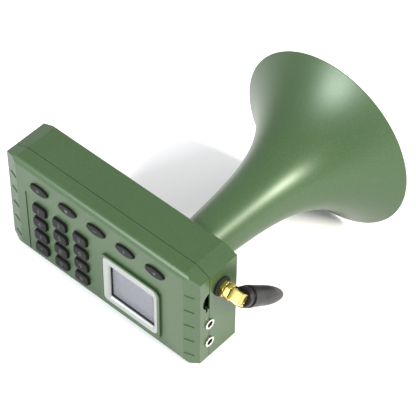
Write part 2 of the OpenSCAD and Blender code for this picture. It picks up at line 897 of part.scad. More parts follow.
// outside radius of the horn at a share u of its length
function horn_r(u) =
    neck_r + (mouth_r - neck_r) * (horn_linear * u + (1 - horn_linear) * pow(u, horn_power));

// points along the horn between two steps of its curve, drawn in by inset
function horn_curve(first, last, inset) = [for (i = [first:last])
    [horn_r(i / horn_steps) - inset, i / horn_steps * (horn_l - rim_r)]];

// where the neck laps into the bell: half the wall each
lap_y = neck_steps / horn_steps * (horn_l - rim_r);
lap_r = horn_r(neck_steps / horn_steps) - horn_wall / 2;

function reversed(points) = [for (i = [len(points) - 1:-1:0]) points[i]];

// the flare, lapped over the neck's end
module horn_bell() {
    rim_steps = 6;
    rim = [for (i = [1:rim_steps - 1]) let (a = i * 180 / rim_steps)
        [mouth_r - rim_r + rim_r * cos(a), horn_l - rim_r + rim_r * sin(a)]];
    color(green) translate([horn_x, rear_y, horn_z]) difference() {
        turned_y(concat(horn_curve(neck_steps, horn_steps, 0), rim,
            reversed(horn_curve(neck_steps, horn_steps, horn_wall))));
        disc_y(lap_r + thread_gap, lap_y - past, lap_y + neck_lap + thread_gap);
    }
}

// the spigot in the case's back, the throat and the straight part of the horn
module horn_neck() {
    flare_steps = ceil(flare_start / (horn_l - rim_r) * horn_steps);
    lap_end = lap_y + neck_lap;
    color(green) translate([horn_x, rear_y, horn_z])
        turned_y(concat([[throat_r, -spigot_l], [spigot_r, -spigot_l], [spigot_r, 0]],
            horn_curve(0, neck_steps, 0), [[lap_r, lap_y], [lap_r, lap_end],
            [horn_r(lap_end / (horn_l - rim_r)) - horn_wall, lap_end]],
            reversed(horn_curve(flare_steps, neck_steps, horn_wall)), [[spigot_r - horn_wall, 0]]));
}

module horn_gasket() {
    color(black) translate([horn_x, inner_rear_y, horn_z]) difference() {
        disc_y(driver_r, -gasket_ring_t, 0);
        disc_y(spigot_r + thread_gap, -gasket_ring_t - past, past);
    }
}

module driver_housing() {
    color([0.2, 0.2, 0.21]) translate([horn_x, rear_y, horn_z]) difference() {
        disc_y(driver_r, -driver_back, -driver_front);
        disc_y(spigot_r + thread_gap, -spigot_l - spigot_gap, 0);
        disc_y(throat_r, -chamber_front - past, -spigot_l);
        disc_y(chamber_r, -driver_back - past, -chamber_front);
    }
}

// thin dome with a flat surround
module diaphragm() {
    sphere_r = (dome_r * dome_r + dome_h * dome_h) / (2 * dome_h);
    arc = asin(dome_r / sphere_r);
    top = [for (i = [0:dome_steps]) let (a = i * arc / dome_steps)
        [sphere_r * sin(a), dome_h - sphere_r * (1 - cos(a))]];
    under = [for (p = top) [p[0], p[1] - cone_t]];
    color([0.75, 0.7, 0.55]) translate([horn_x, rear_y - cone_y, horn_z])
        turned_y(concat(top, [[cone_rim_r, 0], [cone_rim_r, -cone_t]], reversed(under)));
}

module voice_coil() {
    color([0.72, 0.4, 0.2]) translate([horn_x, rear_y - cone_y, horn_z]) difference() {
        disc_y(coil_r[1], -cone_t - coil_l, -cone_t);
        disc_y(coil_r[0], -cone_t - coil_l - past, past);
    }
}

module pole_piece() {
    color(steel) translate([horn_x, rear_y, horn_z]) disc_y(pole_r, -yoke_front - pole_t, -yoke_front);
}

module driver_magnet() {
    color(silver) translate([horn_x, rear_y, horn_z])
        disc_y(magnet_r, -driver_back + yoke_floor_t, -yoke_front - pole_t);
}

module driver_yoke() {
    color(steel) translate([horn_x, rear_y, horn_z]) difference() {
        disc_y(chamber_r - thread_gap, -driver_back, -yoke_front);
        disc_y(yoke_gap_r, -driver_back + yoke_floor_t, 0);
    }
}

// ---- battery and leads ----

module battery_pack() {
    back = inner_rear_y - battery_pad_t;
    color([0.2, 0.3, 0.55]) translate([battery_x, 0, battery_z])
        along_y(back - battery[1], back) rounded_rect(battery[0], battery[2], battery_r);
}

module battery_pad() {
    pad = [battery[0] - 2 * battery_pad_edge, battery[2] - 2 * battery_pad_edge];
    color([0.3, 0.3, 0.3]) translate([battery_x, 0, battery_z])
        along_y(inner_rear_y - battery_pad_t, inner_rear_y) square(pad, center = true);
}

// the battery's and the driver's leads, each pair bent down to the board
module board_leads() {
    battery_end = battery_x + battery[0] / 2;
    battery_y = inner_rear_y - battery_pad_t - battery[1] / 2;
    for (i = [0, 1]) {
        bend_x = battery_end + battery_wire[2] + 2 * i;
        z = battery_wire_z + battery_wire[1] * i;
        color(i == 0 ? "red" : "black")
            wire([[battery_end, battery_y, z], [bend_x, battery_y, z], [bend_x, board_back_y, z]],
                battery_wire[0]);
    }
    apart = driver_wire[1] / 2;
    side_x = horn_x - sqrt(pow(driver_r, 2) - pow(apart - driver_wire[0], 2));
    for (z = [horn_z - apart, horn_z + apart])
        color(z < horn_z ? "black" : "red")
            wire([[side_x, driver_wire_y, z], [side_x - driver_wire[2], driver_wire_y, z],
                [side_x - driver_wire[2], board_back_y, z]], driver_wire[0]);
}

module antenna_lead() {
    start_x = half_l + core_back;
    bend_x = start_x - antenna_wire[1];
    color([0.15, 0.15, 0.15])
        wire([[start_x, sma_y, sma_z], [bend_x, sma_y, sma_z], [bend_x, board_back_y, sma_z]],
            antenna_wire[0]);
}

// ---- one line per sub-part ----

front_shell();
rear_shell();
screen_bezel();
screen_gasket();
screen_window();
screen_panel();
screen_holder();
main_board();
board_parts();
keypad_mat();
key_switches();
key_at(keys[0]);  // key_1
key_at(keys[1]);  // key_2
key_at(keys[2]);  // key_3
key_at(keys[3]);  // key_4
key_at(keys[4]);  // key_5
key_at(keys[5]);  // key_6
key_at(keys[6]);  // key_7
key_at(keys[7]);  // key_8
key_at(keys[8]);  // key_9
key_at(keys[9]);  // key_10
key_at(keys[10]);  // key_11
key_at(keys[11]);  // key_12
oval_key_at(ovals[0]);  // function_key_1
oval_key_at(ovals[1]);  // function_key_2
oval_key_at(ovals[2]);  // function_key_3
oval_key_at(ovals[3]);  // function_key_4
oval_key_at(ovals[4]);  // function_key_5
jack_at(jack_z[0]);  // jack_1
jack_at(jack_z[1]);  // jack_2
jack_rings();
card_socket();
memory_card();
antenna_socket();
antenna_socket_core();
antenna_seal();
antenna_socket_nut();
antenna_nut();
antenna_nut_ring();
antenna_elbow();
antenna_elbow_cap();
antenna_pin();
antenna_insulator();
antenna_radiator();
antenna_stub();
horn_bell();
horn_neck();
horn_gasket();
driver_housing();
diaphragm();
voice_coil();
pole_piece();
driver_magnet();
driver_yoke();
battery_pack();
battery_pad();
board_leads();
antenna_lead();
case_screws();
board_screws();
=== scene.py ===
# %% [markdown]
# # Electronic game caller
# A handheld caller for field use: a moulded case with a rubber keypad and a small display, a flared
# horn set into its back, and a right-angle stub antenna beside two audio sockets. The case stands on
# its long side and the rim of the horn touches the same table.
#
# The engineering model is loaded first and never changed. Every piece made below takes its place
# from that model, in metres, and either covers one of its nodes or only gives it a finish.

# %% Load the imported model
import bmesh
import bpy
import json
import math
from mathutils import Matrix, Vector


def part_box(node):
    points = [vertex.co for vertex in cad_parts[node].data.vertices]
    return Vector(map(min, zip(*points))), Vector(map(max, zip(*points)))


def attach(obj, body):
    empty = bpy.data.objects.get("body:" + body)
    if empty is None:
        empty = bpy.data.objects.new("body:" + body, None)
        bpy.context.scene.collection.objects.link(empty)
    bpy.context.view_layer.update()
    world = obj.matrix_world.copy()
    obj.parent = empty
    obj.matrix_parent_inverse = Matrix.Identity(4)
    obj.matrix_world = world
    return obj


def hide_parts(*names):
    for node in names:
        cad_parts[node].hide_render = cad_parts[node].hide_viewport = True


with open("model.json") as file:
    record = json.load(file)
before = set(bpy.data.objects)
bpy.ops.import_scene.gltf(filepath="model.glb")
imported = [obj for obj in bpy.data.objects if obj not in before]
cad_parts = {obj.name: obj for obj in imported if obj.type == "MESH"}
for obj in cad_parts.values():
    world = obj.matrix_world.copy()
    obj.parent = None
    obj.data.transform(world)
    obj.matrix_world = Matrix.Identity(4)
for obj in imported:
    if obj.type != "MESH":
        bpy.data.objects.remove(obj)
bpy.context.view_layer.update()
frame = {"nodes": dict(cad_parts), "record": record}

nodes = frame["nodes"]
record = frame["record"]

# %% [markdown]
# ## Units and the places that everything hangs on
# Sizes below are written in millimetres and multiplied by `MM`. The places come from the boxes of
# the nodes, so a piece cannot drift away from the part that it belongs to.

# %% Units and reference places
MM = 0.001
WELD = 0.002 * MM  # points this close are one point, where a mesh is welded
FINE_WELD = 0.0005 * MM  # the same for a finished piece, small enough to keep its radii


def span(node):
    """Lowest and highest corner of a node, in metres."""
    low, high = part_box(node)
    return Vector(low), Vector(high)


horn_low, horn_high = span("horn_bell")
seal_low, seal_high = span("antenna_seal")

case_end_x, case_back_y = span("rear_shell")[1].xy
horn_axis = Vector(((horn_low.x + horn_high.x) / 2, case_back_y, (horn_low.z + horn_high.z) / 2))
socket_axis = Vector((case_end_x, (seal_low.y + seal_high.y) / 2, (seal_low.z + seal_high.z) / 2))
print("horn axis", horn_axis, "socket axis", socket_axis)

# %% [markdown]
# ## Camera
# A long lens from high on the right, looking down on the keypad, the socket end and the horn. The
# long lens keeps the sides of the case nearly parallel. It is placed from three directions: where it
# looks, what is to its right and what is above it.

# %% Camera
look = Vector((-0.4398, 0.5, -0.7461)).normalized()
right = Vector((0.7451, 0.6669, 0.0077)).normalized()
above = right.cross(look).normalized()
right = look.cross(above)

camera_x, camera_y, camera_z = 431.93 * MM, -425.16 * MM, 737.14 * MM
lens_mm, sensor_mm = 163.7, 36

camera_data = bpy.data.cameras.new("camera")
camera_data.lens = lens_mm
camera_data.sensor_width = sensor_mm
camera_data.clip_start = 0.01
camera_data.clip_end = 20
camera = bpy.data.objects.new("camera", camera_data)
bpy.context.scene.collection.objects.link(camera)
camera.matrix_world = Matrix((
    (right.x, above.x, -look.x, camera_x),
    (right.y, above.y, -look.y, camera_y),
    (right.z, above.z, -look.z, camera_z),
    (0, 0, 0, 1)))
bpy.context.scene.camera = camera
print("camera at", [camera_x, camera_y, camera_z], "lens", lens_mm, "mm")

# %% [markdown]
# ## Helpers for materials
# A material is a small tree of nodes. `add` puts one node in a tree, sets its options, and fills or
# links its sockets. Colours are written as the sRGB hex values that a painter would read off a
# chart, and `linear` turns them into the linear light that the renderer works in.


# %% Material helpers
def linear(hex_colour):
    """sRGB hex, such as "#5d7a4e", to linear red, green, blue and alpha."""
    def channel(text):
        value = int(text, 16) / 255
        return value / 12.92 if value <= 0.04045 else ((value + 0.055) / 1.055) ** 2.4
    return tuple(channel(hex_colour[i:i + 2]) for i in (1, 3, 5)) + (1.0,)


def add(tree, kind, sockets=None, **settings):
    """One node. settings are its options; sockets maps an input's name or number to a value or output."""
    node = tree.nodes.new(kind)
    for key, value in settings.items():
        setattr(node, key, value)
    for key, value in (sockets or {}).items():
        if isinstance(value, bpy.types.NodeSocket):
            tree.links.new(value, node.inputs[key])
        else:
            node.inputs[key].default_value = value
    return node


def new_material(name, **shader_values):
    """A material with one Principled shader, and the Object coordinates that its patterns read."""
    material = bpy.data.materials.new(name)
    material.use_nodes = True
    tree = material.node_tree
    shader = tree.nodes["Principled BSDF"]
    for key, value in shader_values.items():
        shader.inputs[key.replace("_", " ")].default_value = value
    place = add(tree, "ShaderNodeTexCoord").outputs["Object"]
    return material, tree, shader, place


def connect(tree, shader, **outputs):
    """Links outputs to inputs of the shader. An underscore in a keyword stands for a space."""
    for key, output in outputs.items():
        tree.links.new(output, shader.inputs[key.replace("_", " ")])


def per_mm(size):
    """Texture scale that gives features of this size in millimetres."""
    return 1 / (size * MM)


# %% [markdown]
# ## Green case plastic
# Moulded ABS, pigmented green with a little fine aluminium flake, straight from a lightly spark-
# eroded tool. The eye reads it as satin: broad soft highlights that turn pale green rather than
# white, and a very fine grain. Flake is a partly metallic base whose brightness changes from cell to
# cell, and the tool's grain goes into bump and roughness.
#
# Real flake is about 0.03 mm and the grain about 0.1 mm, too fine to show, so both are drawn coarser,
# at 0.25 mm.


# %% Green case plastic
def green_case_plastic():
    flake_mm, grain_mm, drift_mm = 0.25, 0.25, 45
    material, tree, shader, place = new_material("green_satin_ABS_moulded", Metallic=0.2, IOR=1.53)
    drift = add(tree, "ShaderNodeTexNoise", {"Vector": place, "Scale": per_mm(drift_mm), "Detail": 3.0})
    flake = add(tree, "ShaderNodeTexVoronoi", {"Vector": place, "Scale": per_mm(flake_mm)})
    grain = add(tree, "ShaderNodeTexNoise", {"Vector": place, "Scale": per_mm(grain_mm), "Detail": 2.0})
    tone = add(tree, "ShaderNodeMix", {"Factor": drift.outputs["Fac"], "A": linear("#2a4222"),
                                       "B": linear("#304827")}, data_type="RGBA")
    sparkle = add(tree, "ShaderNodeMix", {"A": tone.outputs["Result"], "B": linear("#4f6c3f")},
                  data_type="RGBA")
    share = add(tree, "ShaderNodeMapRange", {"Value": flake.outputs["Color"], "From Min": 0.55,
                                             "From Max": 1.0, "To Min": 0.0, "To Max": 0.35})
    tree.links.new(share.outputs["Result"], sparkle.inputs["Factor"])
    rough = add(tree, "ShaderNodeMapRange", {"Value": grain.outputs["Fac"], "To Min": 0.33, "To Max": 0.42})
    bump = add(tree, "ShaderNodeBump", {"Height": grain.outputs["Fac"], "Strength": 0.12,
                                        "Distance": 0.02 * MM})
    connect(tree, shader, Base_Color=sparkle.outputs["Result"], Roughness=rough.outputs["Result"],
            Normal=bump.outputs["Normal"])
    return material


# %% [markdown]
# ## Rubbers
# Keys are moulded silicone rubber: nearly black, with a faint soft sheen that changes in patches a
# few millimetres across, as handling leaves it. The antenna is a harder thermoplastic rubber, smooth
# from a polished tool. Seals and gaskets are plain matt rubber. One recipe serves them all. Rubber's
# own grain, under 0.1 mm, would not show, so it is drawn coarser, at 0.2 mm and up.


# %% Rubbers
def rubber(name, dark, light, roughness, grain_size, strength):
    """dark and light are its two tones, grain_size is in millimetres, strength is the bump's."""
    patch_mm, unevenness = 6, 0.07
    material, tree, shader, place = new_material(name, IOR=1.41, Specular_IOR_Level=0.3)
    cloud = add(tree, "ShaderNodeTexNoise", {"Vector": place, "Scale": per_mm(patch_mm), "Detail": 4.0})
    grain = add(tree, "ShaderNodeTexNoise", {"Vector": place, "Scale": per_mm(grain_size), "Detail": 2.0})
    tone = add(tree, "ShaderNodeMix", {"Factor": cloud.outputs["Fac"], "A": linear(dark),
                                       "B": linear(light)}, data_type="RGBA")
    rough = add(tree, "ShaderNodeMapRange", {"Value": cloud.outputs["Fac"], "From Min": 0.3,
                                             "From Max": 0.7, "To Min": roughness - unevenness,
                                             "To Max": roughness + unevenness})
    bump = add(tree, "ShaderNodeBump", {"Height": grain.outputs["Fac"], "Strength": strength,
                                        "Distance": 0.03 * MM})
    connect(tree, shader, Base_Color=tone.outputs["Result"], Roughness=rough.outputs["Result"],
            Normal=bump.outputs["Normal"])
    return material


# %% [markdown]
# ## Metals
# The antenna fittings are turned and milled from brass and flash-plated with gold, so they keep
# faint tool lines and patches of a darker tone. Socket rings and shields are nickel, and screws are
# zinc-plated steel. A metal keeps the default index of refraction; its colour is its reflection, and
# a stretched noise gives the tool lines. Real lines are a few hundredths of a millimetre apart and
# would not show, so they are drawn coarser, at 0.1 to 0.2 mm.


# %% Metals
def metal(name, light, dark, roughness, line_size, stretch):
    """line_size is in millimetres; stretch squeezes the lines along an axis where it is above 1."""
    patch_mm = 3
    material, tree, shader, place = new_material(name, Metallic=1.0)
    stretched = add(tree, "ShaderNodeMapping", {"Vector": place, "Scale": stretch})
    lines = add(tree, "ShaderNodeTexNoise", {"Vector": stretched.outputs["Vector"],
                                             "Scale": per_mm(line_size), "Detail": 3.0})
    cloud = add(tree, "ShaderNodeTexNoise", {"Vector": place, "Scale": per_mm(patch_mm), "Detail": 2.0})
    tone = add(tree, "ShaderNodeMix", {"Factor": cloud.outputs["Fac"], "A": linear(light),
                                       "B": linear(dark)}, data_type="RGBA")
    rough = add(tree, "ShaderNodeMapRange", {"Value": lines.outputs["Fac"], "To Min": roughness - 0.06,
                                             "To Max": roughness + 0.08})
    bump = add(tree, "ShaderNodeBump", {"Height": lines.outputs["Fac"], "Strength": 0.15,
                                        "Distance": 0.01 * MM})
    connect(tree, shader, Base_Color=tone.outputs["Result"], Roughness=rough.outputs["Result"],
            Normal=bump.outputs["Normal"])
    return material


# %% [markdown]
# ## Other plastics
# The bezel is glossy silver-grey polycarbonate with a little flake. Inside are matt black and white
# mouldings, a green solder mask and a blue shrink wrap. They share one recipe: two close tones, a
# little unevenness in the gloss, and a fine grain, drawn coarser than the real one so that it shows.


# %% Other plastics
def plastic(name, tone_a, tone_b, roughness, grain_size=0.3, strength=0.1, patch=8, **shader_values):
    """patch is how far apart its two tones lie and grain_size its grain, both in millimetres."""
    material, tree, shader, place = new_material(name, IOR=1.5, **shader_values)
    cloud = add(tree, "ShaderNodeTexNoise", {"Vector": place, "Scale": per_mm(patch), "Detail": 3.0})
    grain = add(tree, "ShaderNodeTexNoise", {"Vector": place, "Scale": per_mm(grain_size), "Detail": 2.0})
    tone = add(tree, "ShaderNodeMix", {"Factor": cloud.outputs["Fac"], "A": linear(tone_a),
                                       "B": linear(tone_b)}, data_type="RGBA")
    rough = add(tree, "ShaderNodeMapRange", {"Value": grain.outputs["Fac"], "To Min": roughness - 0.04,
                                             "To Max": roughness + 0.06})
    bump = add(tree, "ShaderNodeBump", {"Height": grain.outputs["Fac"], "Strength": strength,
                                        "Distance": 0.02 * MM})
    connect(tree, shader, Base_Color=tone.outputs["Result"], Roughness=rough.outputs["Result"],
            Normal=bump.outputs["Normal"])
    return material


# %% [markdown]
# ## Display and its window
# The window is a thin sheet of clear acrylic, polished. At 0.6 mm it doesn't bend the view, so it is
# drawn with a low alpha, which also lets the light through to what lies behind. The display is
# switched off: a grey-lavender polariser over a grid of dots 0.4 mm apart, parted by fine darker
# lines that only just show.


# %% Display and its window
def clear_acrylic():
    haze_mm = 4
    material, tree, shader, place = new_material("clear_acrylic_window", IOR=1.49, Alpha=0.16)
    haze = add(tree, "ShaderNodeTexNoise", {"Vector": place, "Scale": per_mm(haze_mm), "Detail": 2.0})
    tone = add(tree, "ShaderNodeMix", {"Factor": haze.outputs["Fac"], "A": linear("#d4d6de"),
                                       "B": linear("#e2e4ea")}, data_type="RGBA")
    rough = add(tree, "ShaderNodeMapRange", {"Value": haze.outputs["Fac"], "To Min": 0.03, "To Max": 0.09})
    connect(tree, shader, Base_Color=tone.outputs["Result"], Roughness=rough.outputs["Result"])
    return material


def display_glass():
    material, tree, shader, place = new_material("display_polariser_matt", IOR=1.5, Roughness=0.32)
    dot_pitch, gap_width, patch_mm = 0.4 * MM, 0.06 * MM, 18
    split = add(tree, "ShaderNodeSeparateXYZ", {"Vector": place})
    gaps = []
    for axis in "XZ":
        step = add(tree, "ShaderNodeMath", {0: split.outputs[axis], 1: dot_pitch, 2: 0.0}, operation="WRAP")
        gaps.append(add(tree, "ShaderNodeMath", {0: step.outputs[0], 1: gap_width}, operation="LESS_THAN"))
    lines = add(tree, "ShaderNodeMath", {0: gaps[0].outputs[0], 1: gaps[1].outputs[0]}, operation="MAXIMUM")
    cloud = add(tree, "ShaderNodeTexNoise", {"Vector": place, "Scale": per_mm(patch_mm), "Detail": 1.0})
    tone = add(tree, "ShaderNodeMix", {"Factor": cloud.outputs["Fac"], "A": linear("#65666f"),
                                       "B": linear("#70717a")}, data_type="RGBA")
    drawn = add(tree, "ShaderNodeMix", {"Factor": lines.outputs[0], "A": tone.outputs["Result"],
                                        "B": linear("#5e5f68")}, data_type="RGBA")
    connect(tree, shader, Base_Color=drawn.outputs["Result"])
    return material


# %% Make the materials and give every node its own
finishes = {
    "green_plastic": green_case_plastic(),
    "key_rubber": rubber("silicone_rubber_keys", "#0b0b0c", "#131213", 0.62, 0.2, 0.15),
    "black_rubber": rubber("matt_rubber_seals", "#141414", "#1e1e1e", 0.7, 0.3, 0.3),
    "antenna_rubber": rubber("smooth_TPE_rubber_antenna", "#0c0c0e", "#131315", 0.42, 0.25, 0.1),
    "silver_plastic": plastic("silver_polycarbonate_gloss", "#828682", "#949893", 0.3, patch=14,
                              Metallic=0.2),
    "clear_window": clear_acrylic(),
    "lcd_grey": display_glass(),
    "white_plastic": plastic("white_PTFE_matt", "#e6e5e0", "#f1f0ec", 0.5),
    "board_green": plastic("FR4_solder_mask", "#1f4a2c", "#2a5b38", 0.35, patch=5),
    "black_plastic": plastic("black_ABS_matt", "#1a1a1b", "#232324", 0.55),
    "brushed_nickel": metal("nickel_plate_bright", "#d9d8d2", "#b9b8b2", 0.2, 0.2, (1, 1, 1)),
    "gold_brass": metal("gold_flashed_brass_milled", "#cdbd72", "#9c8b45", 0.2, 0.12, (6, 1, 1)),
    "steel": metal("zinc_plated_steel", "#b9bbbd", "#8d9093", 0.32, 0.15, (1, 4, 1)),
    "diaphragm_film": plastic("amber_polyimide_film", "#c99b4a", "#b98a3a", 0.3),
    "copper_wire": metal("enamelled_copper_wire", "#c8763f", "#a85c2c", 0.3, 0.1, (1, 8, 1)),
    "battery_wrap": plastic("blue_PVC_shrink_wrap", "#23408c", "#2c4ea3", 0.25),
    "grey_foam": rubber("open_cell_foam", "#3f4042", "#55565a", 0.9, 0.6, 0.8),
    "lead_sleeve": rubber("PVC_wire_sleeve", "#171717", "#222222", 0.45, 0.3, 0.1),
    "legend_ink": plastic("grey_pad_printed_ink", "#373639", "#444346", 0.5, patch=2),
}

for part in record["subparts"]:
    mesh = nodes[part["node"]].data
    mesh.materials.clear()
    mesh.materials.append(finishes[part["material_slot"]])
print(len(finishes), "finishes")

# %% [markdown]
# ## Helpers for pieces
# Pieces below are made in one of three ways. A ring-built piece is a stack of closed loops with the
# same number of points, joined to their neighbours. A turned piece is a stack whose loops are all
# circles. A piece that repeats or follows a rule is a Geometry Nodes tree, whose result is turned
# into a plain mesh before it joins the model.


# %% Piece helpers
def opened(mesh):
    """A bmesh with a copy of the mesh."""
    work = bmesh.new()
    work.from_mesh(mesh)
    return work


def smooth_by_angle(mesh, degrees=35):
    """Shades faces smooth, and keeps an edge sharp where its two faces meet at more than this angle."""
    mesh.shade_smooth()
    work = opened(mesh)
    for edge in work.edges:
        edge.smooth = len(edge.link_faces) == 2 and edge.calc_face_angle(0) < math.radians(degrees)
    work.to_mesh(mesh)
    work.free()


def finish_mesh(work, name, slot, body, *replaced, degrees=35):
    """Cleans a bmesh and makes it a piece of the model that rides on a body."""
    bmesh.ops.remove_doubles(work, verts=work.verts, dist=FINE_WELD)
    bmesh.ops.recalc_face_normals(work, faces=work.faces)
    mesh = bpy.data.meshes.new(name)
    work.to_mesh(mesh)
    work.free()
    smooth_by_angle(mesh, degrees)
    place_piece(mesh, name, slot, body, *replaced)


def place_piece(mesh, name, slot, body, *replaced):
    """Makes a mesh a piece: its finish, the body that it rides on and the nodes that it stands for."""
    mesh.materials.clear()
    mesh.materials.append(finishes[slot])
    piece = bpy.data.objects.new(name, mesh)
    bpy.context.scene.collection.objects.link(piece)
    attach(piece, body)
    if replaced:
        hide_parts(*replaced)


def stack(work, loops, closed=False, caps=True):
    """Joins each loop to the next. closed joins the last to the first; caps fills the two ends."""
    rows = [[work.verts.new(point) for point in loop] for loop in loops]
    pairs = list(zip(rows, rows[1:])) + ([(rows[-1], rows[0])] if closed else [])
    for low, high in pairs:
        for i in range(len(low)):
            j = (i + 1) % len(low)
            work.faces.new((low[i], low[j], high[j], high[i]))
    if caps and not closed:
        work.faces.new(rows[0])
        work.faces.new(list(reversed(rows[-1])))


def circle_loop(centre, axis, radius, count=64):
    """Points of a circle round an axis. radius may be a function of the angle."""
    axis = Vector(axis).normalized()
    side = axis.cross(Vector((0, 0, 1)) if abs(axis.z) < 0.9 else Vector((1, 0, 0))).normalized()
    other = axis.cross(side)
    points = []
    for i in range(count):
        angle = 2 * math.pi * i / count
        r = radius(angle) if callable(radius) else radius
        points.append(Vector(centre) + side * (r * math.cos(angle)) + other * (r * math.sin(angle)))
    return points


def turned(work, origin, axis, profile, count=64, closed=False):
    """A stack of circles. profile holds (radius, distance along the axis) pairs in millimetres."""
    axis = Vector(axis).normalized()
    tiny = 0.001  # the radius, in millimetres, of a loop that would lie on the axis
    loops = [circle_loop(Vector(origin) + axis * (d * MM), axis, max(r, tiny) * MM, count)
             for r, d in profile]
    stack(work, loops, closed=closed, caps=not closed)


def rounded(profile, radius, closed=False, steps=4):
    """A profile with its corners rounded off, each by radius or less where its sides are short."""
    most_of_side = 0.45
    points = [Vector(p) for p in profile]
    result = []
    for i, point in enumerate(points):
        if not closed and i in (0, len(points) - 1):
            result.append(tuple(point))
            continue
        before = points[i - 1] - point
        after = points[(i + 1) % len(points)] - point
        reach = min(radius, before.length * most_of_side, after.length * most_of_side)
        a = point + before.normalized() * reach
        b = point + after.normalized() * reach
        for k in range(steps + 1):
            t = k / steps
            result.append(tuple(a * (1 - t) ** 2 + point * 2 * t * (1 - t) + b * t ** 2))
    return result


# %% [markdown]
# ## Case shells
# The two halves of the case keep the engineering model's shape. A moulded edge is never razor sharp,
# though, and the thin light line along it is what makes plastic look moulded. So a copy of each shell
# is merged, its flat faces are made whole again, and its long convex edges are given a small radius.
# Short edges and hollow corners are left as they are.


# %% Case shells
def soft_edged(node, radius, least_length=3.0 * MM, least_angle=14):
    """A merged copy of a shell with its long convex edges rounded."""
    flat_angle = math.radians(0.5)
    work = opened(nodes[node].data)
    bmesh.ops.remove_doubles(work, verts=work.verts, dist=WELD)
    bmesh.ops.dissolve_limit(work, angle_limit=flat_angle, verts=work.verts, edges=work.edges)
    long_edges = [edge for edge in work.edges
                  if len(edge.link_faces) == 2 and edge.calc_length() > least_length
                  and edge.calc_face_angle_signed(0) > math.radians(least_angle)]
    bmesh.ops.bevel(work, geom=long_edges, offset=radius, offset_type="OFFSET", segments=2, profile=0.5,
                    affect="EDGES", clamp_overlap=True, loop_slide=True)
    print(node, len(long_edges), "edges rounded")
    return work


shell_edge = 0.3 * MM
for node in ("front_shell", "rear_shell"):
    finish_mesh(soft_edged(node, shell_edge), node + "_moulded", "green_plastic", "case", node, degrees=14)

# %% [markdown]
# ## Helpers for Geometry Nodes
# A tree starts with its named inputs and ends the same way each time: welded, made real and given
# its material. Running it gives a plain mesh.


# %% Geometry Nodes helpers
def new_tree(name, inputs):
    """A tree with these inputs and their defaults, and a material; with it, what the inputs give."""
    tree = bpy.data.node_groups.new(name, "GeometryNodeTree")
    tree.interface.new_socket("Geometry", in_out="OUTPUT", socket_type="NodeSocketGeometry")
    for label, value in inputs.items():
        kind = "NodeSocketVector" if isinstance(value, tuple) else "NodeSocketFloat"
        tree.interface.new_socket(label, in_out="INPUT", socket_type=kind).default_value = value
    tree.interface.new_socket("Material", in_out="INPUT", socket_type="NodeSocketMaterial")
    return tree, add(tree, "NodeGroupInput").outputs


def calc(tree, operation, *values):
    """One math node in a Geometry Nodes tree."""
    return add(tree, "ShaderNodeMath", dict(enumerate(values)), operation=operation).outputs[0]


def end_tree(tree, geometry, material):
    """Welds the geometry, makes it real, gives it its material and sends it out of the tree."""
    welded = add(tree, "GeometryNodeMergeByDistance", {"Geometry": geometry, "Distance": WELD})
    solid = add(tree, "GeometryNodeRealizeInstances", {"Geometry": welded.outputs[0]})
    dressed = add(tree, "GeometryNodeSetMaterial", {"Geometry": solid.outputs[0], "Material": material})
    add(tree, "NodeGroupOutput", {0: dressed.outputs[0]})


def grow(tree, name, **values):
    """Runs a Geometry Nodes tree with these inputs and returns its result as a plain mesh."""
    carrier = bpy.data.objects.new(name + "_carrier", bpy.data.meshes.new(name + "_carrier"))
    bpy.context.scene.collection.objects.link(carrier)
    modifier = carrier.modifiers.new("nodes", "NODES")
    modifier.node_group = tree
    names = {item.name: item.identifier for item in tree.interface.items_tree if item.in_out == "INPUT"}
    for label, value in values.items():
        modifier[names[label.replace("_", " ")]] = value
    evaluated = carrier.evaluated_get(bpy.context.evaluated_depsgraph_get())
    mesh = bpy.data.meshes.new_from_object(evaluated)
    bpy.data.objects.remove(carrier)
    return mesh


# %% [markdown]
# ## Horn
# The horn is moulded in one piece with the same plastic as the case. Its outside follows a rule: a
# slow straight opening plus a steep power of the distance, so it stays slim for most of its length
# and then flares to a mouth more than four times as wide as the neck. A turned surface that follows a
# rule suits Geometry Nodes: the tree below draws the outer wall from the rule, the inner wall one
# wall thickness inside it, a half-round rim and the spigot, and spins them all on one small circle.
# Changing an input changes the whole horn.

# %% Horn tree
horn, given = new_tree("horn_by_rule", {
    "Neck Radius": 12.3 * MM,
    "Mouth Radius": (horn_high.x - horn_low.x) / 2,
    "Length": horn_high.y - case_back_y,
    "Wall": 2.0 * MM,
    "Straight Share": 0.17,
    "Power": 4.15,
    "Spigot Radius": 9.0 * MM,
    "Spigot Length": 8.5 * MM,
    "Throat Radius": 5.5 * MM,
})

spin_radius = 0.5 * MM  # of the circle that carries the profile round; taken off every radius
outer_points, inner_points, rim_points, spin_points = 110, 100, 13, 128
rim_radius = calc(horn, "MULTIPLY", given["Wall"], 0.5)
straight_end = calc(horn, "SUBTRACT", given["Length"], rim_radius)
growth = calc(horn, "SUBTRACT", given["Mouth Radius"], given["Neck Radius"])


